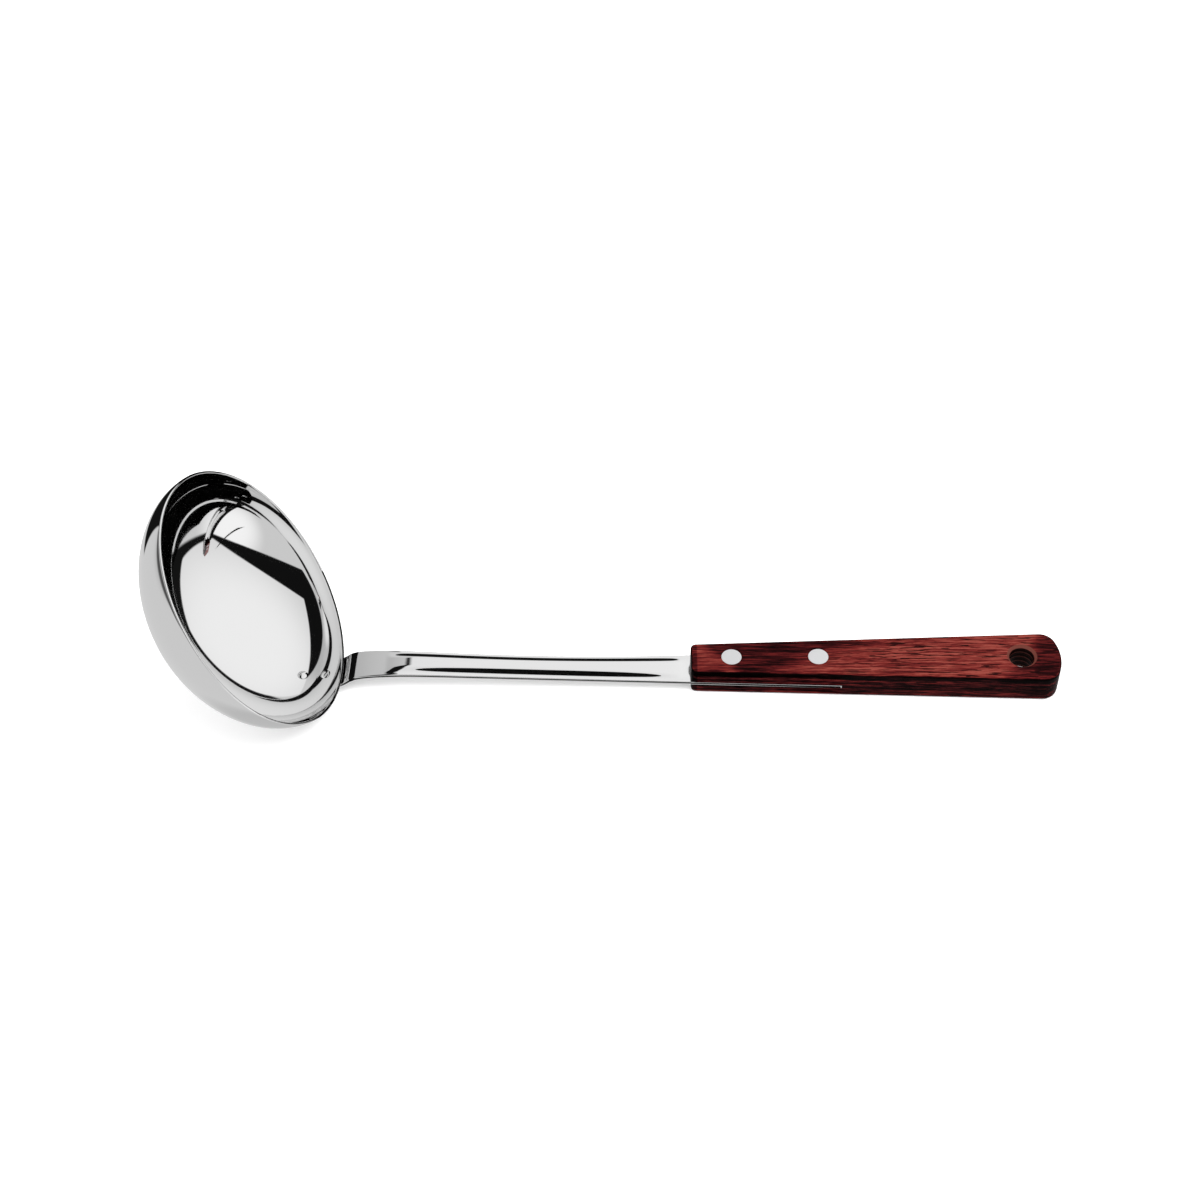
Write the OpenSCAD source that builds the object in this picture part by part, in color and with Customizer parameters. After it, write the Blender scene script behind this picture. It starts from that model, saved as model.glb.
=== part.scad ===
// Soup ladle: a pressed steel bowl spot-welded to a ribbed steel shank, whose flat
// tang runs into a slotted wooden handle and is held there by two flush rivets.
// Millimetres. The ladle lies on a table: +X runs from the bowl to the butt of the
// handle, +Z is up, and the origin is on the table under the middle of its length.

/* [Bowl] */
// Outer radius of the mouth
mouth_r = 49.2; // [46:0.2:53]
// Depth of the outer skin below the mouth
bowl_depth = 33.5; // [31:0.5:36]
// Fullness of the bowl's side: 2 is an ellipse, less is more conical
fullness = 1.88; // [1.8:0.02:2.1]
// Thickness of the bowl's sheet
wall_t = 1.0; // [0.8:0.1:1.2]
// Tilt of the mouth from level, towards the handle, in degrees
mouth_tilt = 56.6; // [52:0.2:60]

/* [Shank] */
// Thickness of the strip
strip_t = 1.3; // [1:0.1:1.6]
// Width of the strip at both ends of the shank
strip_end_w = 13.3; // [12:0.1:14]
// Width of the strip at its waist
strip_waist_w = 11.1; // [10:0.1:12]
// How far the shank arches above the line of the tang
arch_rise = 3.85; // [3:0.05:4.5]
// Length from the front rivet to the top of the neck
neck_reach = 123.5; // [121:0.5:126]
// Height of the pressed rib
rib_h = 1.4; // [0.8:0.1:1.6]
// Depth down the bowl's side at which the welded pad ends
pad_depth = 19.5; // [18:0.5:24]

/* [Handle] */
// Length of the handle
handle_l = 136.5; // [130:0.5:145]
// Width of the handle at its front end
handle_front_w = 13.6; // [13.4:0.1:15]
// Width of the handle at its butt
handle_butt_w = 22.6; // [20:0.1:25]
// Thickness of the handle
handle_t = 12; // [11:0.1:13]
// Radius that all the handle's long edges are eased to
edge_r = 1.2; // [0.8:0.1:2]
// Radius of the shallow arc across the butt
butt_arc_r = 20; // [16:1:30]
// Distance of the tang below the middle of the handle's thickness
tang_drop = 1.1; // [0:0.1:1.5]
// Length of the tang behind the front rivet
tang_reach = 40.5; // [38:0.5:50]

/* [Fasteners and hole] */
// Radius of the rivets
rivet_r = 3.75; // [3:0.05:4.2]
// Distance between the rivets
rivet_pitch = 32; // [28:1:34]
// Distance of the front rivet from the handle's front end
rivet_setback = 15; // [12:1:18]
// Radius of the hanging hole
hang_r = 4.4; // [3.5:0.1:5]
// Distance of the hanging hole from the butt
hang_setback = 14.5; // [13:0.5:20]
// Depth of the countersink at each mouth of the hanging hole
hang_sink = 1.2; // [0.6:0.1:1.5]
// Radius of the spot welds
weld_r = 2; // [1.2:0.1:2.2]

/* [Hidden] */
$fn = 96;

// Side view vectors are [x, z]. Their x is measured from the front rivet and their z
// from the middle of the handle's thickness.
mouth_dir = [cos(mouth_tilt), -sin(mouth_tilt)];   // along the mouth, towards the shank
sink_dir = [-sin(mouth_tilt), -cos(mouth_tilt)];   // from the mouth down into the bowl

// Half-extent of the bowl's outline along a direction with these two components
function reach(along, down) =
    let (k = fullness / (fullness - 1))
    pow(pow(mouth_r * along, k) + pow(bowl_depth * down, k), 1 / k);

pad_gap = 0.03;         // between the bowl and the pad that is welded to it
weld_depths = [6.9, 14.5];
tang_z = -tang_drop;
butt_x = handle_l - rivet_setback;
front_x = -rivet_setback;
hang_x = butt_x - hang_setback;
rim_lead = 1.2;         // depth below the mouth at which the shank meets the bowl
neck_lead = 6.4;        // how far the neck runs on straight before it bends
neck_ease = 21;         // how gently the neck flattens into the shank
neck_run = 21.1;        // from the rim to the top of the neck, along X
arch_leads = [11.5, 60];
beyond = 1;             // how far a cut runs past the solid that it cuts

// The pad lies under the bowl and shares the table with the handle's underside.
mouth_z = reach(sin(mouth_tilt), cos(mouth_tilt)) + pad_gap + strip_t - handle_t / 2;

// Outer radius and side normal [out, down] at a depth below the mouth
function skin_r(d) = mouth_r * pow(1 - pow(d / bowl_depth, fullness), 1 / fullness);
function skin_normal(d) =
    let (v = [pow(skin_r(d), fullness - 1) / pow(mouth_r, fullness),
              pow(max(d, 0), fullness - 1) / pow(bowl_depth, fullness)])
    v / norm(v);

// The mouth is placed so that the neck has its run between the rim and its own top.
neck_top = [-neck_reach, tang_z + arch_rise];
mouth_x = neck_top[0] - neck_run - mouth_r * mouth_dir[0];
mouth_c = [mouth_x, mouth_z];
function side_view(r, d) = mouth_c + r * mouth_dir + d * sink_dir;
function side_normal(d) = skin_normal(d)[0] * mouth_dir + skin_normal(d)[1] * sink_dir;

bowl_end_x = mouth_x - reach(cos(mouth_tilt), sin(mouth_tilt));
shift_x = -(bowl_end_x + butt_x) / 2;
module placed() translate([shift_x, 0, handle_t / 2]) children();

// Bowl
skin_steps = 30;
lip_steps = 4;
function skin_point(a) = [mouth_r * pow(cos(a), 2 / fullness), bowl_depth * pow(sin(a), 2 / fullness)];
function inner_point(p) = p - wall_t * skin_normal(p[1]);

module bowl_profile() {
    outer = [for (i = [0:skin_steps]) skin_point(90 * i / skin_steps)];
    mid_r = mouth_r - wall_t / 2;
    lip = [for (i = [1:lip_steps - 1]) let (a = 180 * i / lip_steps)
        [mid_r - cos(a) * wall_t / 2, sin(a) * wall_t / 2]];
    polygon(concat(
        [for (i = [skin_steps:-1:0]) i == skin_steps ? [0, -bowl_depth] : [outer[i][0], -outer[i][1]]],
        [for (i = [lip_steps - 1:-1:1]) lip[i - 1]],
        [for (i = [0:skin_steps]) let (p = inner_point(outer[i]))
            i == skin_steps ? [0, wall_t - bowl_depth] : [p[0], -p[1]]]));
}

// Puts its children at a spot weld, with +Z pointing out of the bowl's side
module at_weld(d) {
    p = side_view(skin_r(d), d);
    v = side_normal(d);
    translate([p[0], 0, p[1]]) rotate([0, atan2(v[0], v[1]), 0]) children();
}

module weld_bore() cylinder(r = weld_r, h = 6 * wall_t, center = true);

module bowl() {
    color("gainsboro") placed() difference() {
        translate([mouth_c[0], 0, mouth_c[1]]) rotate([0, mouth_tilt, 0])
            rotate_extrude() bowl_profile();
        for (d = weld_depths) at_weld(d) weld_bore();
    }
}

// Shank: its middle line in side view runs up the bowl's side, through the neck and
// the arch, and straight into the handle.
function bezier(p, s) = pow(1 - s, 3) * p[0] + 3 * pow(1 - s, 2) * s * p[1]
    + 3 * (1 - s) * s * s * p[2] + pow(s, 3) * p[3];

strip_off = pad_gap + strip_t / 2;
function pad_line(d) = side_view(skin_r(d), d) + strip_off * side_normal(d);
lift = pad_line(rim_lead);
lift_dir = [-side_normal(rim_lead)[1], side_normal(rim_lead)[0]];
neck_curve = [lift, lift + neck_lead * lift_dir, neck_top - [neck_ease, 0], neck_top];
arch_foot = [front_x, tang_z];
arch_curve = [neck_top, neck_top + [arch_leads[0], 0], arch_foot - [arch_leads[1], 0], arch_foot];

pad_n = 20;
neck_n = 26;
arch_n = 44;
tang_n = 8;
line = concat(
    [for (i = [0:pad_n]) pad_line(pad_depth + (rim_lead - pad_depth) * i / pad_n)],
    [for (i = [1:neck_n]) bezier(neck_curve, i / neck_n)],
    [for (i = [1:arch_n]) bezier(arch_curve, i / arch_n)],
    [for (i = [1:tang_n]) arch_foot + [(tang_reach - front_x) * i / tang_n, 0]]);
last = len(line) - 1;

function unit(v) = v / norm(v);
function up_at(i) = let (t = unit(line[min(i + 1, last)] - line[max(i - 1, 0)])) [-t[1], t[0]];

// Half width of the strip: waisted along the shank, rounded at the pad's end, and
// flush with the handle's sides along the tang
waist_x = (front_x + lift[0]) / 2;
waist_span = (front_x - lift[0]) / 2;
function handle_w(x) = handle_front_w
    + (handle_butt_w - handle_front_w) * (x - front_x) / (hang_x - front_x);
function shank_w(x) = strip_waist_w + (strip_end_w - strip_waist_w) * pow((x - waist_x) / waist_span, 2);
pad_corner = 5;
function corner_cut(i) = let (s = min(norm(line[i] - line[0]), pad_corner))
    pad_corner - sqrt(pow(pad_corner, 2) - pow(pad_corner - s, 2));
function half_w(i) = i <= pad_n ? strip_end_w / 2 - corner_cut(i)
    : i < pad_n + neck_n + arch_n ? shank_w(line[i][0]) / 2 : handle_w(line[i][0]) / 2;

// How far the strip is cupped to the bowl's round side: wholly on the pad, and
// dying away along the neck
cupped_neck = 0.6;      // the share of the neck over which it dies away
function cupping(i) = i <= pad_n ? 1 : max(0, 1 - (i - pad_n) / (neck_n * cupped_neck));
function cup(i, y) = cupping(i) <= 0 ? 0
    : pow(cupping(i), 2) * (mouth_r - sqrt(mouth_r * mouth_r - y * y));

// The rib: highest in mid-shank, gone at the handle and at the neck
rib_mid_x = -72;
rib_span = 55;
rib_margin = 0.8;
rib_slope = 3.2;
rib_end = 3.2;          // the higher, the longer the rib keeps its full height
function rib_along(x) = let (v = abs(x - rib_mid_x) / rib_span)
    v >= 1 ? 0 : sqrt(1 - pow(v, rib_end));
function rib_across(y, half) = let (u = (half - rib_margin - abs(y)) / rib_slope)
    u <= 0 ? 0 : u >= 1 ? 1 : (1 - cos(180 * u)) / 2;
function rib(x, y, half) = rib_h * rib_along(x) * rib_across(y, half);

// Columns across the strip, from one edge to the other, a little closer at the edges
across_n = 16;
edge_crowd = 0.25;
function column_y(j, half) = let (v = 2 * j / across_n - 1)
    half * (edge_crowd * sin(90 * v) + (1 - edge_crowd) * v);
function strip_point(i, j, side) = let (
    half = half_w(i), y = column_y(j, half), up = up_at(i),
    p = line[i] + (side * strip_t / 2 + rib(line[i][0], y, half)) * up - cup(i, y) * mouth_dir)
    [p[0], y, p[1]];

ring_n = 2 * (across_n + 1);
function ring(i) = concat(
    [for (j = [0:across_n]) strip_point(i, j, 1)],
    [for (j = [across_n:-1:0]) strip_point(i, j, -1)]);

module strip() {
    side_faces = [for (i = [0:last - 1]) for (j = [0:ring_n - 1]) for (half = [0, 1])
        let (a = i * ring_n + j, b = i * ring_n + (j + 1) % ring_n)
        half == 0 ? [a, b, b + ring_n] : [a, b + ring_n, a + ring_n]];
    // Each end is closed by a row of triangles between its upper and lower edges
    end_faces = [for (i = [0, last]) for (j = [0:across_n - 1]) for (half = [0, 1])
        let (o = i * ring_n, a = o + j, b = o + j + 1, c = o + ring_n - 2 - j, d = o + ring_n - 1 - j)
        i == 0 ? (half == 0 ? [a, d, c] : [a, c, b]) : (half == 0 ? [a, c, d] : [a, b, c])];
    polyhedron([for (i = [0:last]) each ring(i)], concat(side_faces, end_faces));
}

module shank() {
    color("silver") placed() difference() {
        strip();
        for (x = [0, rivet_pitch]) translate([x, 0, tang_z])
            cylinder(r = rivet_r, h = strip_t + 2 * beyond, center = true);
        for (d = weld_depths) at_weld(d) weld_bore();
    }
}

// Handle
front_corner_r = 2;
butt_corner_r = 6;
slot_gap = 0.03;        // above and below the tang in its slot
slot_end_gap = 0.1;

// A disc or a ring of the handle's thickness, from radius r0 to r1, with the outer
// edges eased; one hull joins five of them into the blank
ease_steps = 4;
module eased(r0, r1, sweep = 360) {
    flat = handle_t / 2 - edge_r;
    bead = [for (i = [0:ease_steps]) let (a = 90 * i / ease_steps)
        [r1 - edge_r * (1 - cos(a)), flat + edge_r * sin(a)]];
    rotate([0, 0, -sweep / 2]) rotate_extrude(angle = sweep) polygon(concat(
        [[r0, -handle_t / 2]],
        [for (i = [ease_steps:-1:0]) [bead[i][0], -bead[i][1]]],
        bead,
        [[r0, handle_t / 2]]));
}

module handle_blank() {
    front_y = handle_w(front_x + front_corner_r) / 2 - front_corner_r;
    butt_y = handle_butt_w / 2 - butt_corner_r;
    arc_x = butt_x - butt_arc_r;
    corner_a = asin(butt_y / (butt_arc_r - butt_corner_r));
    corner_x = arc_x + (butt_arc_r - butt_corner_r) * cos(corner_a);
    hull() {
        for (s = [-1, 1]) {
            translate([front_x + front_corner_r, s * front_y]) eased(0, front_corner_r, $fn = 32);
            translate([corner_x, s * butt_y]) eased(0, butt_corner_r, $fn = 32);
        }
        translate([arc_x, 0]) eased(butt_arc_r - butt_corner_r, butt_arc_r, 2 * corner_a);
    }
}

module hanging_hole() {
    translate([hang_x, 0, 0]) {
        cylinder(r = hang_r, h = handle_t + 2 * beyond, center = true);
        for (s = [0, 1]) mirror([0, 0, s]) translate([0, 0, handle_t / 2 - hang_sink])
            cylinder(r1 = hang_r, r2 = hang_r + 2 * hang_sink, h = 2 * hang_sink);
    }
}

module handle() {
    color("firebrick") placed() difference() {
        handle_blank();
        translate([front_x - beyond, -handle_butt_w, tang_z - strip_t / 2 - slot_gap])
            cube([tang_reach - front_x + beyond + slot_end_gap, 2 * handle_butt_w, strip_t + 2 * slot_gap]);
        for (x = [0, rivet_pitch]) translate([x, 0, 0])
            cylinder(r = rivet_r, h = handle_t + 2 * beyond, center = true);
        hanging_hole();
    }
}

// Rivets and spot welds
module rivet() color("lightgray") cylinder(r = rivet_r, h = handle_t, center = true);

module rivet_front() placed() rivet();

module rivet_rear() placed() translate([rivet_pitch, 0, 0]) rivet();

dome_h = 0.45;
weld_skin = 0.02;       // the weld stops this far inside the pad's outer face
module spot_weld(d) {
    color("darkgray") placed() at_weld(d) rotate_extrude() polygon(concat(
        [[0, pad_gap + strip_t - weld_skin], [0, -wall_t - dome_h]],
        [for (a = [15:15:90]) [weld_r * sin(a), -wall_t - dome_h * cos(a)]],
        [[weld_r, pad_gap + strip_t - weld_skin]]));
}

module spot_weld_rim() spot_weld(weld_depths[0]);

module spot_weld_inner() spot_weld(weld_depths[1]);

bowl();
shank();
handle();
rivet_front();
rivet_rear();
spot_weld_rim();
spot_weld_inner();
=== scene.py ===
"""The looks of a soup ladle: a mirror-polished steel bowl and shank and a dark red wooden handle.

Sizes that repeat the CAD model's are in millimetres, with x measured from the front rivet and z
from the middle of the handle's thickness. world() turns such a point into metres in the frame.
"""

import math

import bmesh
import bpy
from mathutils import Matrix, Vector

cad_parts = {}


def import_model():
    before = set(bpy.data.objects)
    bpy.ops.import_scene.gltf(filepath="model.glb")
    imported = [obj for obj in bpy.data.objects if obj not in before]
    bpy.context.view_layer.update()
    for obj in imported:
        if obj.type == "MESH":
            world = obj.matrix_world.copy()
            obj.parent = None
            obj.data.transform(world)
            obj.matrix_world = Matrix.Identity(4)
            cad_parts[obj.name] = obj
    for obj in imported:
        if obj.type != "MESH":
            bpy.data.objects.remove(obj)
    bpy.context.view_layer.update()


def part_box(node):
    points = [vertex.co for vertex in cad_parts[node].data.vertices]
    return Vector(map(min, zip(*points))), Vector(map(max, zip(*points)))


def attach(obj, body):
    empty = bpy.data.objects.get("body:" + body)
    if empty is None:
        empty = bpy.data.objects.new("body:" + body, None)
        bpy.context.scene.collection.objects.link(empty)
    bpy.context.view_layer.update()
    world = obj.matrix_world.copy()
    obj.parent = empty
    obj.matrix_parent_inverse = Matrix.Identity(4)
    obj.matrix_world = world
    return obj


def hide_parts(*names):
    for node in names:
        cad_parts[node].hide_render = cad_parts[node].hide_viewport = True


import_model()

MM = 0.001


def middle(node):
    """The middle of a CAD node's box, in metres."""
    low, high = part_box(node)
    return (Vector(low) + Vector(high)) / 2


# Where the handle's own millimetre frame lies, and what the CAD boxes say of the handle
ORIGIN = Vector((middle("rivet_front").x, 0, middle("handle").z))
handle_low, handle_high = (Vector(corner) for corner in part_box("handle"))
HANDLE_FRONT = (handle_low.x - ORIGIN.x) / MM
HANDLE_BUTT = (handle_high.x - ORIGIN.x) / MM
HANDLE_THICK = (handle_high.z - handle_low.z) / MM
RIVET_PITCH = (middle("rivet_rear").x - middle("rivet_front").x) / MM
rivet_low, rivet_high = (Vector(corner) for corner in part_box("rivet_front"))
RIVET_R = (rivet_high.y - rivet_low.y) / 2 / MM

# The bowl; FULLNESS is the power of its superellipse
MOUTH_R = 49.2
BOWL_DEPTH = 33.5
FULLNESS = 1.88
WALL_T = 1.0
TILT = math.radians(56.6)

# The strip that makes the pad, the shank and the tang
STRIP_T = 1.3
STRIP_EDGE_R = 0.22
STRIP_END_W = 13.3
STRIP_WAIST_W = 11.1
ARCH_RISE = 3.85
NECK_REACH = 123.5
NECK_DROP = 21.1
PAD_DEPTH = 19.5
PAD_GAP = 0.03
PAD_CORNER_R = 5
TANG_Z = -1.1
TANG_REACH = 40.5
RIM_LEAD = 1.2
NECK_LEAD = 6.4
NECK_EASE = 21
NECK_CUPPED = 0.6
ARCH_LEADS = (11.5, 60)

# The strip's pressed rib; RIB_END is the power that squares off its ends
RIB_H = 1.4
RIB_MID = -72
RIB_SPAN = 55
RIB_MARGIN = 0.8
RIB_SLOPE = 3.2
RIB_END = 3.2

# The handle and its hole
FRONT_W = 13.6
BUTT_W = 22.6
EDGE_R = 1.2
FRONT_CORNER_R = 2
BUTT_CORNER_R = 6
BUTT_ARC_R = 20
HANG_X = HANDLE_BUTT - 14.5
HANG_R = 4.4
HANG_SINK = 1.2
SLOT_GAP = 0.03
SLOT_END_GAP = 0.1

# The welds, each at its depth below the mouth; WELD_SHY is how far a pin stops short of the pad's back
WELD_R = 2.0
WELD_DEPTHS = {"spot_weld_rim": 6.9, "spot_weld_inner": 14.5}
DOME_H = 0.45
WELD_SHY = 0.05

# The angles past which faces meet in a crease, in degrees
STRIP_CREASE = 40
HANDLE_CREASE = 28
WELD_CREASE = 50


def world(x, y, z):
    """A point of the handle's millimetre frame, in metres in the shared frame."""
    return ORIGIN + Vector((x, y, z)) * MM


# ---------------------------------------------------------------- mesh helpers
def new_object(name, verts, faces, crease=None):
    """A mesh object with smooth faces, creased where they meet at more than this many degrees."""
    mesh = bpy.data.meshes.new(name)
    mesh.from_pydata([tuple(v) for v in verts], [], faces)
    bm = bmesh.new()
    bm.from_mesh(mesh)
    bmesh.ops.remove_doubles(bm, verts=bm.verts, dist=1e-7)
    bmesh.ops.recalc_face_normals(bm, faces=bm.faces)
    bm.to_mesh(mesh)
    bm.free()
    mesh.shade_smooth()
    if crease:
        mesh.set_sharp_from_angle(angle=math.radians(crease))
    obj = bpy.data.objects.new(name, mesh)
    bpy.context.scene.collection.objects.link(obj)
    return obj


def lathe(profile, turns):
    """Vertices and faces of a profile of (radius, height) points, spun about Z, in metres."""
    verts, faces = [], []
    for radius, height in profile:
        for k in range(turns):
            a = 2 * math.pi * k / turns
            verts.append((radius * MM * math.cos(a), radius * MM * math.sin(a), height * MM))
    for i in range(len(profile) - 1):
        for k in range(turns):
            a, b = i * turns + k, i * turns + (k + 1) % turns
            faces.append((a, b, b + turns, a + turns))
    return verts, faces


def loft(rings):
    """Vertices and faces of closed rings of points, joined one to the next and capped at both ends."""
    count = len(rings[0])
    verts = [point for ring in rings for point in ring]
    faces = []
    for i in range(len(rings) - 1):
        for k in range(count):
            a, b = i * count + k, i * count + (k + 1) % count
            faces.append((a, b, b + count, a + count))
    last = (len(rings) - 1) * count
    faces.append(tuple(range(count))[::-1])
    faces.append(tuple(range(last, last + count)))
    return verts, faces


def finish_piece(obj, material, slot, *nodes):
    """Gives a piece its material, puts it under the root body and hides the CAD nodes that it stands
    for. The slot is not used.
    """
    obj.data.materials.append(material)
    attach(obj, "root")
    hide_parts(*nodes)


# ---------------------------------------------------------------- the bowl's shape
MOUTH_DIR = Vector((math.cos(TILT), -math.sin(TILT)))
SINK_DIR = Vector((-math.sin(TILT), -math.cos(TILT)))


def reach(along, down):
    """How far the bowl's outline reaches along a direction with these two components."""
    k = FULLNESS / (FULLNESS - 1)
    return ((MOUTH_R * along) ** k + (BOWL_DEPTH * down) ** k) ** (1 / k)


# The table is level with the handle's underside, and the pad under the bowl rests on it too
TABLE_Z = -HANDLE_THICK / 2
MOUTH = Vector((-NECK_REACH - NECK_DROP - MOUTH_R * MOUTH_DIR.x,
                reach(math.sin(TILT), math.cos(TILT)) + PAD_GAP + STRIP_T + TABLE_Z))


def skin_r(depth):
    """Outer radius at a depth below the mouth."""
    return MOUTH_R * (1 - (depth / BOWL_DEPTH) ** FULLNESS) ** (1 / FULLNESS)


def skin_normal(depth):
    """Side normal [out, down] of the outer skin at a depth below the mouth."""
    out = skin_r(depth) ** (FULLNESS - 1) / MOUTH_R ** FULLNESS
    down = max(depth, 0) ** (FULLNESS - 1) / BOWL_DEPTH ** FULLNESS
    return Vector((out, down)).normalized()


def side_view(radius, depth):
    """The [x, z] of a point at a radius, towards the shank, and a depth below the mouth."""
    return MOUTH + radius * MOUTH_DIR + depth * SINK_DIR


def side_normal(depth):
    """The same point's outward normal, as [x, z]."""
    normal = skin_normal(depth)
    return normal.x * MOUTH_DIR + normal.y * SINK_DIR


def bowl_frame():
    """The bowl's own axes: origin in the mouth's middle, +Z out of the mouth, +X to the shank."""
    return Matrix.Translation(world(MOUTH.x, 0, MOUTH.y)) @ Matrix.Rotation(TILT, 4, "Y")


def bowl_profile(skin_steps=64, lip_steps=10):
    """Outer skin from the bottom up, the rounded lip, and the inner skin down to the bottom."""
    outer = []
    for i in range(skin_steps + 1):
        a = math.pi / 2 * i / skin_steps
        outer.append((MOUTH_R * math.cos(a) ** (2 / FULLNESS),
                      BOWL_DEPTH * math.sin(a) ** (2 / FULLNESS)))
    outer[-1] = (0, BOWL_DEPTH)
    inner = []
    for radius, depth in outer:
        normal = skin_normal(depth)
        inner.append((max(radius - WALL_T * normal.x, 0), depth - WALL_T * normal.y))
    lip = []
    for i in range(1, lip_steps):
        a = math.pi * i / lip_steps
        lip.append((MOUTH_R - WALL_T / 2 + math.cos(a) * WALL_T / 2, -math.sin(a) * WALL_T / 2))
    points = outer[::-1] + lip + inner
    return [(radius, -depth) for radius, depth in points]


def make_bowl(material):
    bowl = new_object("bowl_shell", *lathe(bowl_profile(), turns=224))
    bowl.data.transform(bowl_frame())
    finish_piece(bowl, material, "bowl_steel", "bowl")


# ---------------------------------------------------------------- the strip
def bezier(points, s):
    """The point at a share s of the way along a cubic curve with these four control points."""
    a, b, c, d = points
    return (1 - s) ** 3 * a + 3 * (1 - s) ** 2 * s * b + 3 * (1 - s) * s * s * c + s ** 3 * d


def pad_line(depth):
    """The strip's middle line where it lies against the bowl."""
    return side_view(skin_r(depth), depth) + (PAD_GAP + STRIP_T / 2) * side_normal(depth)


LIFT = pad_line(RIM_LEAD)
LIFT_DIR = Vector((-side_normal(RIM_LEAD).y, side_normal(RIM_LEAD).x))
NECK_TOP = Vector((-NECK_REACH, TANG_Z + ARCH_RISE))
ARCH_FOOT = Vector((HANDLE_FRONT, TANG_Z))
NECK_CURVE = (LIFT, LIFT + NECK_LEAD * LIFT_DIR, NECK_TOP - Vector((NECK_EASE, 0)), NECK_TOP)
ARCH_CURVE = (NECK_TOP, NECK_TOP + Vector((ARCH_LEADS[0], 0)),
              ARCH_FOOT - Vector((ARCH_LEADS[1], 0)), ARCH_FOOT)


def handle_w(x):
    """Width of the handle, and of the tang in it, at x."""
    return FRONT_W + (BUTT_W - FRONT_W) * (x - HANDLE_FRONT) / (HANG_X - HANDLE_FRONT)


def shank_w(x):
    """Width of the shank at x, least half-way along."""
    waist, span = (HANDLE_FRONT + LIFT.x) / 2, (HANDLE_FRONT - LIFT.x) / 2
    return STRIP_WAIST_W + (STRIP_END_W - STRIP_WAIST_W) * ((x - waist) / span) ** 2


def pad_stations(steps=36, crowding=1.5):
    """The pad's stations from its round-cornered end to the rim, closer together at the end."""
    rows = []
    end = pad_line(PAD_DEPTH)
    for i in range(steps + 1):
        s = (i / steps) ** crowding
        point = pad_line(PAD_DEPTH + (RIM_LEAD - PAD_DEPTH) * s)
        gone = PAD_CORNER_R - min((point - end).length, PAD_CORNER_R)
        cut = PAD_CORNER_R - math.sqrt(PAD_CORNER_R ** 2 - gone ** 2)
        rows.append((point, STRIP_END_W - 2 * cut, 1))
    return rows


def stations(neck_steps=56, arch_steps=110, tang_steps=12):
    """The strip's stations from the pad's end to the tang's: (middle point, width, cupping)."""
    rows = pad_stations()
    for i in range(1, neck_steps + 1):
        s = i / neck_steps
        point = bezier(NECK_CURVE, s)
        rows.append((point, shank_w(point.x), max(0, 1 - s / NECK_CUPPED) ** 2))
    for i in range(1, arch_steps + 1):
        point = bezier(ARCH_CURVE, i / arch_steps)
        rows.append((point, shank_w(point.x), 0))
    for i in range(tang_steps + 1):
        point = ARCH_FOOT + Vector(((TANG_REACH - HANDLE_FRONT) * i / tang_steps, 0))
        rows.append((point, handle_w(point.x), 0))
    return rows


def rib(x, y, half):
    """Height of the pressed rib at a point of the strip."""
    v = abs(x - RIB_MID) / RIB_SPAN
    u = (half - RIB_MARGIN - abs(y)) / RIB_SLOPE
    if v >= 1 or u <= 0:
        return 0
    return RIB_H * math.sqrt(1 - v ** RIB_END) * (1 - math.cos(math.pi * min(u, 1))) / 2


def section(half, columns=44, bend_steps=4):
    """The strip's section, round both faces and edges: (y, height over the middle line)."""
    flat, rise = half - STRIP_EDGE_R, STRIP_T / 2 - STRIP_EDGE_R
    upper = [(-flat + 2 * flat * k / columns, STRIP_T / 2) for k in range(columns + 1)]
    right = []
    for k in range(1, 2 * bend_steps):
        a = math.pi / 2 * (1 - k / bend_steps)
        lift = rise if a > 0 else -rise if a < 0 else 0
        right.append((flat + STRIP_EDGE_R * math.cos(a), lift + STRIP_EDGE_R * math.sin(a)))
    return upper + right + [(-y, -height) for y, height in upper + right]


def make_shank(material):
    """The strip, lofted through its stations, cupped round the bowl at the pad."""
    rows = stations()
    rings = []
    for i, (point, width, cupping) in enumerate(rows):
        ahead, behind = rows[min(i + 1, len(rows) - 1)][0], rows[max(i - 1, 0)][0]
        along = (ahead - behind).normalized()
        up = Vector((-along.y, along.x))
        ring = []
        for y, height in section(width / 2):
            sag = cupping * (MOUTH_R - math.sqrt(MOUTH_R ** 2 - y * y))
            spot = point + (height + rib(point.x, y, width / 2)) * up - sag * MOUTH_DIR
            ring.append(world(spot.x, y, spot.y))
        rings.append(ring)
    shank = new_object("shank_strip", *loft(rings), STRIP_CREASE)
    finish_piece(shank, material, "shank_steel", "shank")


# ---------------------------------------------------------------- the handle
def arc_steps(start, end, steps):
    """Evenly spaced angles from start to end, both among them."""
    return [start + (end - start) * k / steps for k in range(steps + 1)]


def half_outline():
    """The handle's plan for y > 0, from the butt's middle to the front: (centre, radius, angle)."""
    front = Vector((HANDLE_FRONT + FRONT_CORNER_R,
                    handle_w(HANDLE_FRONT + FRONT_CORNER_R) / 2 - FRONT_CORNER_R))
    arc = Vector((HANDLE_BUTT - BUTT_ARC_R, 0))
    corner_y, corner_reach = BUTT_W / 2 - BUTT_CORNER_R, BUTT_ARC_R - BUTT_CORNER_R
    turn = math.asin(corner_y / corner_reach)
    corner = Vector((arc.x + corner_reach * math.cos(turn), corner_y))
    # The straight side touches both corners where their outward reaches are equal
    gap = corner - front
    side = math.atan2(gap.y, gap.x) + math.acos((FRONT_CORNER_R - BUTT_CORNER_R) / gap.length)
    return ([(arc, BUTT_ARC_R, a) for a in arc_steps(0, turn, 16)]
            + [(corner, BUTT_CORNER_R, a) for a in arc_steps(turn, side, 14)]
            + [(front, FRONT_CORNER_R, a) for a in arc_steps(side, math.pi, 10)])


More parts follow.
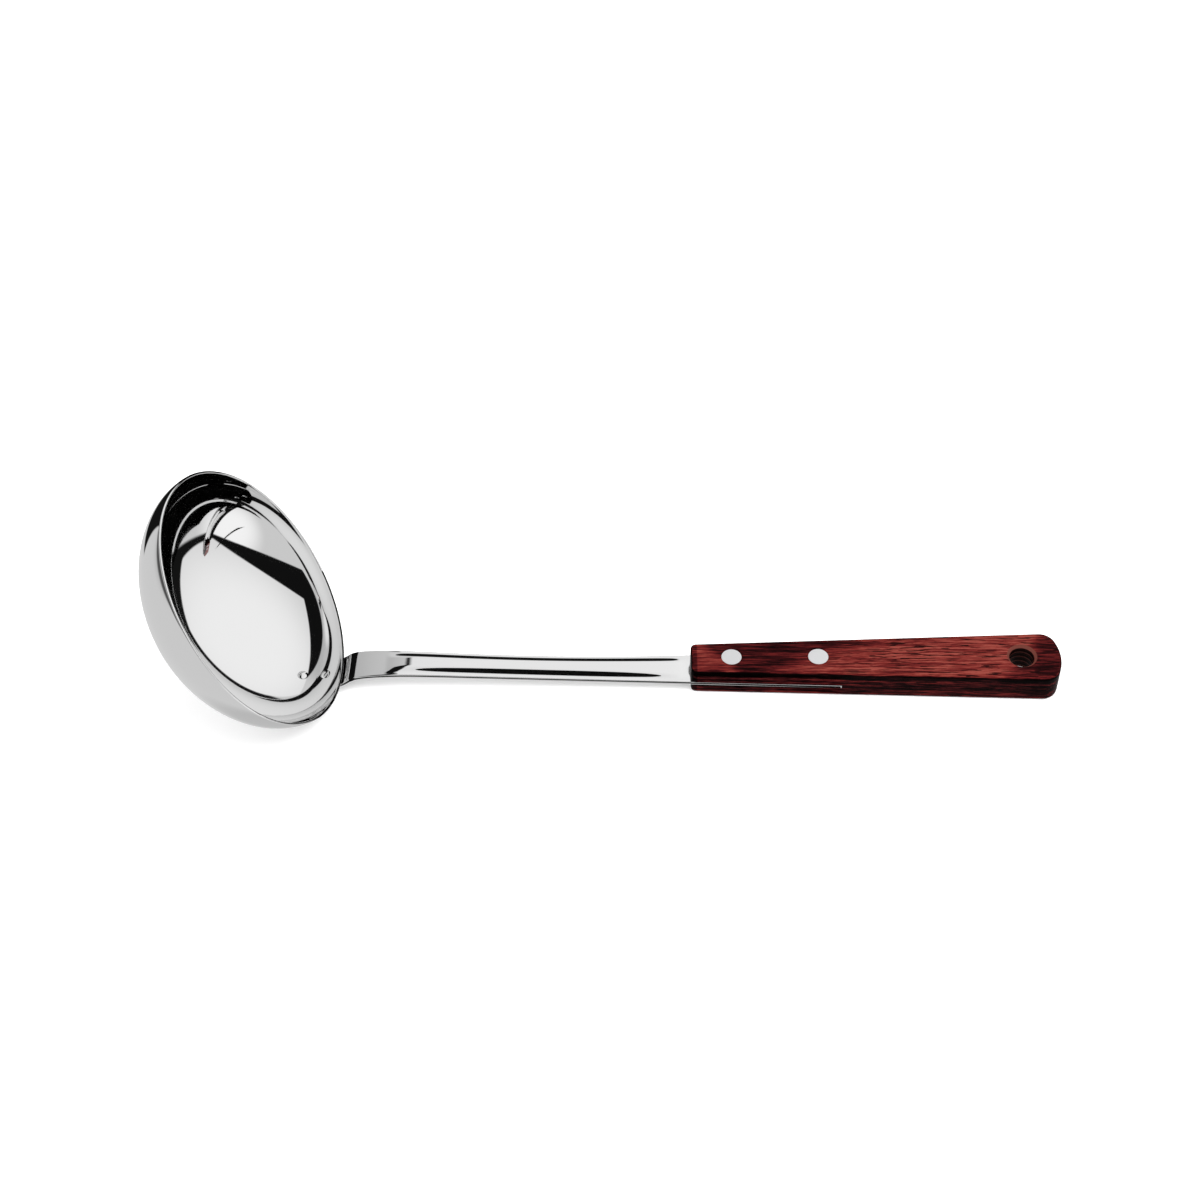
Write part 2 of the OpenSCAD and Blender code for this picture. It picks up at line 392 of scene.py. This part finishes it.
def outline_ring(inset, z):
    """The handle's outline, drawn in by inset, at height z, in metres from the handle's front."""
    ring = []
    for mirror in (1, -1):
        points = half_outline()[::mirror]
        for centre, radius, angle in points:
            x = centre.x + (radius - inset) * math.cos(angle)
            y = mirror * (centre.y + (radius - inset) * math.sin(angle))
            ring.append(Vector((x - HANDLE_FRONT, y, z)) * MM)
    return ring


def handle_blank(hold=0.2):
    """The solid handle with rounded edges, and a narrow ring of faces held flat beside them."""
    top = HANDLE_THICK / 2
    levels = [(EDGE_R + hold, top)]
    for a in arc_steps(math.pi / 2, 0, 8):
        levels.append((EDGE_R * (1 - math.cos(a)), top - EDGE_R + EDGE_R * math.sin(a)))
    levels.append((0, top - EDGE_R - hold))
    levels += [(inset, -z) for inset, z in levels[::-1]]
    return new_object("handle_body", *loft([outline_ring(inset, z) for inset, z in levels]))


def box_cutter(low, high):
    """A closed box between two corners in millimetres, to cut with."""
    rings = []
    for x in (low[0], high[0]):
        corners = ((low[1], low[2]), (high[1], low[2]), (high[1], high[2]), (low[1], high[2]))
        rings.append([Vector((x - HANDLE_FRONT, y, z)) * MM for y, z in corners])
    return new_object("cutter", *loft(rings))


def round_cutter(profile, x):
    """A closed lathed plug, standing at x on the handle's middle line, to cut with."""
    closed = [(0, profile[0][1])] + profile + [(0, profile[-1][1])]
    cutter = new_object("cutter", *lathe(closed, turns=96))
    cutter.location = ((x - HANDLE_FRONT) * MM, 0, 0)
    return cutter


def hole_profile(steps=18, ring_pitch=1.2, ring_depth=0.09, beyond=0.5):
    """Hanging hole: a bore with faint drill rings between two countersinks with eased edges."""
    top = HANDLE_THICK / 2
    bore_top = top - HANG_SINK
    half = [(HANG_R + HANG_SINK + beyond, top + beyond), (HANG_R + HANG_SINK, top)]
    half += [(HANG_R + 0.14, bore_top + 0.10), (HANG_R + 0.04, bore_top)]
    for k in range(1, steps + 1):
        z = bore_top * (1 - k / steps)
        ring = (1 - math.cos(2 * math.pi * z / ring_pitch)) / 2
        half.append((HANG_R + ring_depth * ring, z))
    return half + [(radius, -z) for radius, z in half[-2::-1]]


def cut_all(obj, cutters):
    """Cuts every cutter from obj, applies the result and removes the cutters."""
    for cutter in cutters:
        cut = obj.modifiers.new("cut", "BOOLEAN")
        cut.operation = "DIFFERENCE"
        cut.solver = "EXACT"
        cut.object = cutter
    bpy.context.view_layer.update()
    graph = bpy.context.evaluated_depsgraph_get()
    mesh = bpy.data.meshes.new_from_object(obj.evaluated_get(graph))
    obj.modifiers.clear()
    obj.data = mesh
    for cutter in cutters:
        bpy.data.objects.remove(cutter, do_unlink=True)
    mesh.set_sharp_from_angle(angle=math.radians(HANDLE_CREASE))


def make_handle(material):
    """The handle, with the tang's slot, the hanging hole and the rivet holes cut from its blank."""
    handle = handle_blank()
    slot_half = STRIP_T / 2 + SLOT_GAP
    cutters = [box_cutter((HANDLE_FRONT - 1, -BUTT_W, TANG_Z - slot_half),
                          (TANG_REACH + SLOT_END_GAP, BUTT_W, TANG_Z + slot_half)),
               round_cutter(hole_profile(), HANG_X)]
    for x in (0, RIVET_PITCH):
        plug = [(RIVET_R, HANDLE_THICK), (RIVET_R, -HANDLE_THICK)]
        cutters.append(round_cutter(plug, x))
    cut_all(handle, cutters)
    handle.location = world(HANDLE_FRONT, 0, 0)
    finish_piece(handle, material, "handle_wood", "handle")


# ---------------------------------------------------------------- rivets and welds
def make_rivet(name, x, material, edge=0.10, shy=0.012, rings=6):
    """A rivet ground flush with both faces, with a hairline round its edge."""
    top, radius = HANDLE_THICK / 2, RIVET_R - shy
    half = [(radius * k / rings, top) for k in range(rings)] + [(radius - 2 * edge, top)]
    for a in arc_steps(math.pi / 2, 0, 4):
        half.append((radius - edge + edge * math.cos(a), top - edge + edge * math.sin(a)))
    half.append((radius, top - 2 * edge))
    profile = half + [(r, -z) for r, z in half[::-1]]
    rivet = new_object(name, *lathe(profile, turns=72))
    rivet.location = world(x, 0, 0)
    finish_piece(rivet, material, "rivet_metal", name)


def make_weld(name, depth, material):
    """The nugget of a spot weld: a pin through the bowl and the pad, domed inside the bowl."""
    back, foot = PAD_GAP + STRIP_T - WELD_SHY, -WALL_T
    profile = [(0, back), (WELD_R, back), (WELD_R, foot)]
    for a in arc_steps(0, math.pi / 2, 10)[1:]:
        profile.append((WELD_R * math.cos(a), foot - DOME_H * math.sin(a)))
    profile[-1] = (0, foot - DOME_H)
    weld = new_object(name, *lathe(profile, turns=64), WELD_CREASE)
    spot, normal = side_view(skin_r(depth), depth), side_normal(depth)
    turn = Matrix.Rotation(math.atan2(normal.x, normal.y), 4, "Y")
    weld.data.transform(Matrix.Translation(world(spot.x, 0, spot.y)) @ turn)
    finish_piece(weld, material, "weld_metal", name)


# ---------------------------------------------------------------- shader helpers
class Nodes:
    """A node tree, with short calls for the nodes that the materials are made of."""

    def __init__(self, owner):
        owner.use_nodes = True
        self.tree = owner.node_tree
        self.tree.nodes.clear()

    def add(self, kind, **settings):
        node = self.tree.nodes.new(kind)
        for name, value in settings.items():
            setattr(node, name, value)
        return node

    def join(self, source, target):
        self.tree.links.new(source, target)

    def feed(self, socket, value):
        """Sets a socket to a number or a colour, or links another node's output to it."""
        if isinstance(value, bpy.types.NodeSocket):
            self.join(value, socket)
        else:
            socket.default_value = value

    def math(self, operation, a, b=0.0):
        node = self.add("ShaderNodeMath", operation=operation)
        self.feed(node.inputs[0], a)
        self.feed(node.inputs[1], b)
        return node.outputs[0]

    def times(self, value, factor, start=0.0):
        """start + factor * value."""
        product = self.math("MULTIPLY", value, factor)
        return self.math("ADD", product, start) if start else product

    def dot(self, vector, direction):
        node = self.add("ShaderNodeVectorMath", operation="DOT_PRODUCT")
        self.join(vector, node.inputs[0])
        node.inputs[1].default_value = direction
        return node.outputs["Value"]

    def ramp(self, value, low, high, smooth=True):
        """0 at low and 1 at high, and level beyond both; high may be the smaller number."""
        node = self.add("ShaderNodeMapRange", interpolation_type="SMOOTHSTEP" if smooth else "LINEAR")
        self.feed(node.inputs["Value"], value)
        node.inputs["From Min"].default_value = low
        node.inputs["From Max"].default_value = high
        return node.outputs["Result"]

    def scaled(self, vector, scale, offset=(0, 0, 0)):
        """A place scaled along each axis and then moved, which stretches what is drawn there."""
        node = self.add("ShaderNodeMapping")
        self.join(vector, node.inputs["Vector"])
        node.inputs["Scale"].default_value = scale
        node.inputs["Location"].default_value = offset
        return node.outputs["Vector"]

    def noise(self, vector, scale, detail=3.0, roughness=0.5, distortion=0.0):
        node = self.add("ShaderNodeTexNoise")
        self.join(vector, node.inputs["Vector"])
        node.inputs["Scale"].default_value = scale
        node.inputs["Detail"].default_value = detail
        node.inputs["Roughness"].default_value = roughness
        node.inputs["Distortion"].default_value = distortion
        return node.outputs["Fac"]

    def mix(self, factor, a, b):
        """Mixes two colours."""
        node = self.add("ShaderNodeMix", data_type="RGBA")
        self.feed(node.inputs[0], factor)
        self.feed(node.inputs[6], a)
        self.feed(node.inputs[7], b)
        return node.outputs[2]

    def bump(self, height, strength, distance):
        node = self.add("ShaderNodeBump")
        node.inputs["Strength"].default_value = strength
        node.inputs["Distance"].default_value = distance
        self.join(height, node.inputs["Height"])
        return node.outputs["Normal"]

    def position(self):
        """The place on the piece, in its own metres."""
        return self.add("ShaderNodeTexCoord").outputs["Object"]

    def surface(self, shader, output="ShaderNodeOutputMaterial"):
        self.join(shader, self.add(output).inputs["Surface"])


def new_material(name):
    """A material and its empty node tree."""
    material = bpy.data.materials.new(name)
    return material, Nodes(material)


def principled(nodes, **sockets):
    """Ends a material in a Principled shader; a socket name's underscores stand for spaces."""
    shader = nodes.add("ShaderNodeBsdfPrincipled")
    for name, value in sockets.items():
        nodes.feed(shader.inputs[name.replace("_", " ")], value)
    nodes.surface(shader.outputs["BSDF"])


# ---------------------------------------------------------------- steel and rivets
def grey(level):
    return (level, level, level, 1)


STEEL_GREY = 0.82
STEEL_ROUGHNESS = 0.03
SMUDGE_ROUGHNESS = 0.03
SMUDGE_NOISE = (0.45, 0.75)
ALLOY_COLOUR = (0.86, 0.86, 0.87, 1)
ALLOY_ROUGHNESS = 0.33
SCRATCH_ROUGHNESS = 0.15
METAL_RELIEF = 0.02 * MM


def polished_steel(name, lines_of):
    """Mirror-polished steel with faint polishing lines, which lines_of(nodes) draws."""
    material, nodes = new_material(name)
    smudge = nodes.noise(nodes.position(), scale=55.0, detail=3.0, roughness=0.6)
    roughness = nodes.times(nodes.ramp(smudge, *SMUDGE_NOISE), SMUDGE_ROUGHNESS, STEEL_ROUGHNESS)
    principled(nodes, Base_Color=grey(STEEL_GREY), Metallic=1.0, Roughness=roughness,
               Normal=nodes.bump(lines_of(nodes), strength=0.04, distance=METAL_RELIEF))
    return material


def lines_along(nodes):
    """Polishing lines along the shank."""
    spot = nodes.scaled(nodes.position(), (25, 1500, 1500))
    return nodes.noise(spot, scale=1.0, detail=4.0, roughness=0.6)


def lines_round(nodes):
    """Spinning lines round the bowl: noise of the depth below the mouth, bent a little."""
    depth = nodes.dot(nodes.position(), Vector((math.sin(TILT), 0, math.cos(TILT))))
    bend = nodes.times(nodes.noise(nodes.position(), scale=18.0, detail=2.0), 2 * MM)
    lines = nodes.add("ShaderNodeTexNoise", noise_dimensions="1D")
    nodes.join(nodes.math("ADD", depth, bend), lines.inputs["W"])
    lines.inputs["Scale"].default_value = 900
    lines.inputs["Detail"].default_value = 3
    return lines.outputs["Fac"]


def rivet_metal():
    """Light alloy, ground flush: fine straight scratches under a soft sheen."""
    material, nodes = new_material("rivet_metal")
    spot = nodes.scaled(nodes.position(), (300, 9000, 300))
    scratch = nodes.noise(spot, scale=1.0, detail=3.0, roughness=0.7)
    principled(nodes, Base_Color=ALLOY_COLOUR, Metallic=1.0,
               Roughness=nodes.times(scratch, SCRATCH_ROUGHNESS, ALLOY_ROUGHNESS),
               Normal=nodes.bump(scratch, strength=0.15, distance=METAL_RELIEF))
    return material


# ---------------------------------------------------------------- wood
# In the wood's nodes x, y and z are millimetres from the middle of the handle's front end. Its
# lightness is a number from 0 to 1, which WOOD_TONES turns into colours: (lightness, colour)
WOOD_TONES = [(0.0, (0.0006, 0.0001, 0.0001)), (0.20, (0.0045, 0.0006, 0.0008)),
              (0.42, (0.023, 0.0024, 0.0030)), (0.64, (0.072, 0.0072, 0.0072)),
              (0.84, (0.120, 0.016, 0.013)), (1.0, (0.185, 0.038, 0.029))]

# The layers from the underside to the top: (z, lightness). The black from z 3.9 to 5.45, just under
# the top edge, is a painted dark reflection on the eased edge and the top of the side
WOOD_LAYERS_AND_EDGE_REFLECTION = [(-6.0, 0.38), (-4.6, 0.48), (-3.7, 0.24), (-2.7, 0.46), (-1.7, 0.22), (-0.6, 0.16),
               (0.5, 0.38), (1.5, 0.16), (2.5, 0.56), (3.3, 0.18), (3.9, 0.0), (5.45, 0.0),
               (5.8, 0.70), (6.4, 0.72)]

# Edges across the handle, as slanting() takes them: (lean, start, full)
RIVET_FIGURE_FRONT = (1.1, 9, 15)
RIVET_FIGURE_REAR = (-1.8, 58, 34)
BUTT_FIGURE = (-0.5, 121, 129)
PALER_MIDDLE = (0, 40, 100)
# Painted shade: the wood darkened over the front end's rounding
FRONT_END_SHADE = (0, 2.6, 2.0)

# How much each figure, and the painted shade at the front end, changes the lightness, and the z from
# which each figure shows and at which it is full
RIVET_CHANGE = -0.40
BUTT_CHANGE = -0.36
MIDDLE_CHANGE = 0.14
FRONT_SHADE_CHANGE = -0.26
FIGURE_Z = (2.0, 5.6)

# How far, in millimetres, the same slow wave bends the layers up and down and the figures along
LAYER_WAVER = 1.2
FIGURE_WAVER = 30.0

# Streaks along the grain: (streaks in a metre of X, Y and Z, noise where they start, noise where
# they are full, range of lightness, shift of the noise)
FINE_STREAKS = ((170, 2600, 2600), 0.38, 0.62, 0.30, (0, 3, 1))
BROAD_STREAKS = ((16, 210, 210), 0.30, 0.70, 0.20, (3.1, 0.4, 1.7))
NARROW_STREAKS = ((42, 1150, 1150), 0.40, 0.60, 0.32, (0, 0, 0))

# Pores, none at the first x of PORE_REACH and all of them from the second
PORE_SCALE = (120, 1350, 1350)
PORE_SHIFT = (0.3, 5, 2)
PORE_NOISE = (0.565, 0.59)
PORE_REACH = (20, 80)
PORE_SHARE = 0.92
PORE_COLOUR = (0.004, 0.0006, 0.0008, 1)

SINK_SHARE = 0.85
SINK_COLOUR = (0.130, 0.038, 0.029, 1)
# Painted shade in the hanging hole's bore: near black, with lighter bands for its drill rings
BORE_SHADE_COLOURS = ((0.005, 0.0010, 0.0008, 1), (0.050, 0.014, 0.011, 1))
BORE_RING_PITCH = 2.4
WOOD_ROUGHNESS = 0.34
WOOD_RELIEF = 0.04 * MM


def stops_of(nodes, value, colours):
    """A colour ramp through (level, colour) stops."""
    ramp = nodes.add("ShaderNodeValToRGB")
    stops = ramp.color_ramp.elements
    while len(stops) < len(colours):
        stops.new(0.5)
    for stop, (level, colour) in zip(stops, colours):
        stop.position, stop.color = level, (*colour, 1)
    nodes.join(value, ramp.inputs["Fac"])
    return ramp.outputs["Color"]


def layers_and_painted_reflection(nodes, height):
    """How light the wood's layer at this height is; the black band just under the top edge is a
    painted dark reflection.
    """
    low, high = WOOD_LAYERS_AND_EDGE_REFLECTION[0][0], WOOD_LAYERS_AND_EDGE_REFLECTION[-1][0]
    colours = [((level - low) / (high - low), (light, light, light)) for level, light in WOOD_LAYERS_AND_EDGE_REFLECTION]
    return stops_of(nodes, nodes.ramp(height, low, high, smooth=False), colours)


def slanting(nodes, x, y, lean, start, full):
    """An edge across the handle: 0 where x + lean * y is start, 1 where it is full."""
    across = nodes.math("ADD", x, nodes.times(y, lean)) if lean else x
    return nodes.ramp(across, start, full)


def wood_figure(nodes, x, y, z, waver):
    """Change of lightness along the top: a dark figure round the rivets and one at the butt."""
    x = nodes.math("ADD", x, waver)
    rivets = nodes.math("MULTIPLY", slanting(nodes, x, y, *RIVET_FIGURE_FRONT),
                        slanting(nodes, x, y, *RIVET_FIGURE_REAR))
    dark = nodes.math("ADD", nodes.times(rivets, RIVET_CHANGE),
                      nodes.times(slanting(nodes, x, y, *BUTT_FIGURE), BUTT_CHANGE))
    paler = nodes.times(slanting(nodes, x, y, *PALER_MIDDLE), MIDDLE_CHANGE)
    return nodes.math("MULTIPLY", nodes.math("ADD", dark, paler), nodes.ramp(z, *FIGURE_Z))


def streaks(nodes, spot, scale, low, high, weight, offset):
    """Streaks along the grain, as a change of lightness of up to half the weight either way."""
    noise = nodes.noise(nodes.scaled(spot, scale, offset), 1.0, 4.0, 0.65, 0.2)
    return nodes.times(nodes.math("SUBTRACT", nodes.ramp(noise, low, high), 0.5), weight)


def wood_at_hole(nodes, x, y, z, colour):
    """The wood's colour with the paler countersink, and the bore of the hanging hole painted near
    black as shade, with lighter bands for its drill rings.
    """
    spot = nodes.add("ShaderNodeCombineXYZ")
    nodes.join(nodes.math("SUBTRACT", x, HANG_X - HANDLE_FRONT), spot.inputs["X"])
    nodes.join(y, spot.inputs["Y"])
    length = nodes.add("ShaderNodeVectorMath", operation="LENGTH")
    nodes.join(spot.outputs[0], length.inputs[0])
    distance = length.outputs["Value"]
    sink_r = HANG_R + HANG_SINK
    sink = nodes.ramp(distance, sink_r + 0.05, sink_r - 0.15)
    bore_shade = nodes.ramp(distance, HANG_R + 0.3, HANG_R + 0.12)
    ring = nodes.ramp(nodes.math("SINE", nodes.times(z, 2 * math.pi / BORE_RING_PITCH)), 0.55, 0.95)
    colour = nodes.mix(nodes.times(sink, SINK_SHARE), colour, SINK_COLOUR)
    return nodes.mix(bore_shade, colour, nodes.mix(ring, *BORE_SHADE_COLOURS))


def red_wood():
    """Resin-treated dark red hardwood: thin layers, dark figures, fine streaks and open pores, with
    painted shade on the front end and in the hanging hole's bore, and a painted dark reflection under
    the top edge.
    """
    material, nodes = new_material("red_wood")
    spot = nodes.position()
    axes = nodes.add("ShaderNodeSeparateXYZ")
    nodes.join(nodes.scaled(spot, (1 / MM, 1 / MM, 1 / MM)), axes.inputs[0])
    x, y, z = axes.outputs
    waver = nodes.math("SUBTRACT", nodes.noise(nodes.scaled(spot, (22, 70, 70)), 1.0, 3.0), 0.5)
    light = layers_and_painted_reflection(nodes, nodes.math("ADD", z, nodes.times(waver, LAYER_WAVER)))
    fine = streaks(nodes, spot, *FINE_STREAKS)
    # The last change is painted shade over the front end's rounding
    for change in (wood_figure(nodes, x, y, z, nodes.times(waver, FIGURE_WAVER)), fine,
                   streaks(nodes, spot, *BROAD_STREAKS), streaks(nodes, spot, *NARROW_STREAKS),
                   nodes.times(slanting(nodes, x, y, *FRONT_END_SHADE), FRONT_SHADE_CHANGE)):
        light = nodes.math("ADD", light, change)
    colour = stops_of(nodes, light, WOOD_TONES)
    pores = nodes.noise(nodes.scaled(spot, PORE_SCALE, PORE_SHIFT), 1.0, 2.0, 0.5)
    pore = nodes.math("MULTIPLY", nodes.ramp(pores, *PORE_NOISE), nodes.ramp(x, *PORE_REACH))
    colour = nodes.mix(nodes.times(pore, PORE_SHARE), colour, PORE_COLOUR)
    relief = nodes.math("SUBTRACT", nodes.times(fine, 2.0), pore)
    principled(nodes, Base_Color=wood_at_hole(nodes, x, y, z, colour), Specular_IOR_Level=0.02,
               Roughness=nodes.math("ADD", fine, WOOD_ROUGHNESS),
               Normal=nodes.bump(relief, strength=0.25, distance=WOOD_RELIEF))
    return material


# ---------------------------------------------------------------- the studio
def toward(azimuth, elevation):
    """Unit vector; azimuth 0 is +Y and 90 is +X, in degrees."""
    a, e = math.radians(azimuth), math.radians(elevation)
    return Vector((math.sin(a) * math.cos(e), math.cos(a) * math.cos(e), math.sin(e)))


# What the steel mirrors has straight edges. Each is ((azimuth, elevation), inset): the direction
# that it faces inwards, and how far inside the plane square to that direction it lies, in degrees
PANEL_EDGES = [((18, 26), -2.1), ((86, 13), 6.2), ((128, 56), 4.7), ((61, 56), 14.8)]
SCREEN_EDGES = [((6, 40), -16.6), ((101, 50), 23.9), ((-80, 46), -62.2)]
BACK_EDGES = [((37, 0), 0), ((16, 0), 0), ((0, -90), -21), ((14, 69), -14.4)]
LEFT_EDGES = [((-101, 0), 42), ((0, 90), 12), ((0, -90), -25)]

# The dark stretches of the room, one over the other: (edges, softness, grey)
DARKS = [(LEFT_EDGES, 0.04, 0.09), (BACK_EDGES, 0.02, 0.008), (SCREEN_EDGES, 0.012, 0.006)]
PANEL_SOFTNESS = 0.012

# Glows: (azimuth, elevation, degrees within which it is full, degrees at which it is gone, grey)
ROOM_GREY = 0.70
ROOM_GLOWS = [(125, -8, 5, 34, 1.08), (0, -90, 18, 34, 0.57), (-80, 50, 30, 50, 0.52)]
PANEL_GREY = 0.76
PANEL_GLOW = (60, 38, 15, 75, 1.02)
BACKDROP_GREY = 0.93

# Black cards near the ladle, in millimetres: low corner, high corner and z of the level ones, and
# radii, angles from the shank in degrees, and height over the mouth of the one at the rim
OVER_CARD = ((-127, -17), (-20, -7), 24)
FRONT_CARD = ((LIFT.x - 2, -24), (TANG_REACH, -9), TABLE_Z + 0.3)
RIM_CARD = ((36, 52), (-50, 35), 4)
CARD_GREY = 0.003

# The lamps, in metres and watts, and the camera, in metres, degrees and millimetres of lens
LAMPS = {"key": ((0.35, -0.15, 1.1), 16), "fill": ((-0.5, -0.5, 0.9), 8)}
LAMP_D = 1.0
CAMERA_AT = (0.00854, -0.50930, 0.59797)
CAMERA_TURN = (42.561, 0.865, 0.461)
CAMERA_LENS = 63


def within(nodes, ray, edges, softness):
    """1 inside all of the edges and 0 outside any."""
    inside = 1.0
    for (azimuth, elevation), inset in edges:
        depth = nodes.dot(ray, toward(azimuth, elevation))
        limit = math.sin(math.radians(inset))
        inside = nodes.math("MULTIPLY", inside, nodes.ramp(depth, limit - softness, limit + softness))
    return inside


def glow(nodes, ray, colour, azimuth, elevation, inner, outer, level):
    """The colour, brought to a grey within one angle of a direction and unchanged past another."""
    depth = nodes.dot(ray, toward(azimuth, elevation))
    share = nodes.ramp(depth, math.cos(math.radians(outer)), math.cos(math.radians(inner)))
    return nodes.mix(share, colour, grey(level))


def studio_world():
    """What the polished steel reflects: a light panel overhead, dark screens and a pale room."""
    studio = bpy.data.worlds.new("studio")
    bpy.context.scene.world = studio
    nodes = Nodes(studio)
    ray = nodes.add("ShaderNodeTexCoord").outputs["Generated"]
    room = grey(ROOM_GREY)
    for spot in ROOM_GLOWS:
        room = glow(nodes, ray, room, *spot)
    for edges, softness, level in DARKS:
        room = nodes.mix(within(nodes, ray, edges, softness), room, grey(level))
    panel = glow(nodes, ray, grey(PANEL_GREY), *PANEL_GLOW)
    mirrored = nodes.mix(within(nodes, ray, PANEL_EDGES, PANEL_SOFTNESS), room, panel)
    seen = nodes.add("ShaderNodeLightPath").outputs["Is Camera Ray"]
    background = nodes.add("ShaderNodeBackground")
    nodes.join(nodes.mix(seen, mirrored, grey(BACKDROP_GREY)), background.inputs["Color"])
    nodes.surface(background.outputs[0], "ShaderNodeOutputWorld")


def black_card(name, corners):
    """A black card near the ladle, which only its reflections show."""
    card = new_object(name, corners, [tuple(range(len(corners)))])
    material, nodes = new_material(name)
    principled(nodes, Base_Color=grey(CARD_GREY), Roughness=1.0, Specular_IOR_Level=0.0)
    card.data.materials.append(material)
    card.visible_camera = card.visible_diffuse = card.visible_shadow = False
    card.visible_transmission = card.visible_volume_scatter = False


def flat_card(low, high, z):
    """The corners of a level card between two [x, y] corners."""
    spots = ((low[0], low[1]), (high[0], low[1]), (high[0], high[1]), (low[0], high[1]))
    return [world(x, y, z) for x, y in spots]


def rim_card(radii, angles, height):
    """The corners of a sector over the mouth's rim, between two radii and two angles."""
    corners = []
    for radius, (start, end) in zip(radii, (angles, angles[::-1])):
        for angle in arc_steps(math.radians(start), math.radians(end), 20):
            spot = Vector((radius * math.cos(angle), -radius * math.sin(angle), height))
            corners.append(bowl_frame() @ (spot * MM))
    return corners


def make_screens():
    """Black cards over the rib's near slope, in front of the strip and over the rim by the shank."""
    black_card("screen_over", flat_card(*OVER_CARD))
    black_card("screen_front", flat_card(*FRONT_CARD))
    black_card("screen_rim", rim_card(*RIM_CARD))


def make_floor(half=4.0, drop=-0.1 * MM):
    """A plain pale floor, just under the ladle. The steel reflects the studio instead of it."""
    corners = [(-half, -half, drop), (half, -half, drop), (half, half, drop), (-half, half, drop)]
    floor = new_object("floor", corners, [(0, 1, 2, 3)])
    material, nodes = new_material("pale_floor")
    principled(nodes, Base_Color=grey(0.85), Roughness=0.9, Specular_IOR_Level=0.0,
               Emission_Color=grey(1), Emission_Strength=0.30)
    floor.data.materials.append(material)
    floor.visible_glossy = False


def make_lights():
    """Soft light from above that the steel doesn't mirror."""
    for name, (place, power) in LAMPS.items():
        light = bpy.data.lights.new(name, "AREA")
        light.shape, light.size, light.energy = "DISK", LAMP_D, power
        lamp = bpy.data.objects.new(name, light)
        lamp.location = place
        lamp.rotation_euler = (-Vector(place)).to_track_quat("-Z", "Y").to_euler()
        lamp.visible_glossy = False
        bpy.context.scene.collection.objects.link(lamp)


def make_camera():
    """The camera, in front of the ladle's middle and looking down on it."""
    data = bpy.data.cameras.new("camera")
    data.sensor_width, data.lens = 36, CAMERA_LENS
    camera = bpy.data.objects.new("camera", data)
    camera.location = CAMERA_AT
    camera.rotation_euler = [math.radians(turn) for turn in CAMERA_TURN]
    bpy.context.scene.collection.objects.link(camera)
    bpy.context.scene.camera = camera


def main():
    bpy.context.scene.view_settings.view_transform = "Standard"
    make_camera()
    strip_steel = polished_steel("strip_steel", lines_along)
    alloy = rivet_metal()
    make_bowl(polished_steel("bowl_steel", lines_round))
    make_shank(strip_steel)
    make_handle(red_wood())
    make_rivet("rivet_front", 0, alloy)
    make_rivet("rivet_rear", RIVET_PITCH, alloy)
    for name, depth in WELD_DEPTHS.items():
        make_weld(name, depth, strip_steel)
    studio_world()
    make_screens()
    make_floor()
    make_lights()


main()
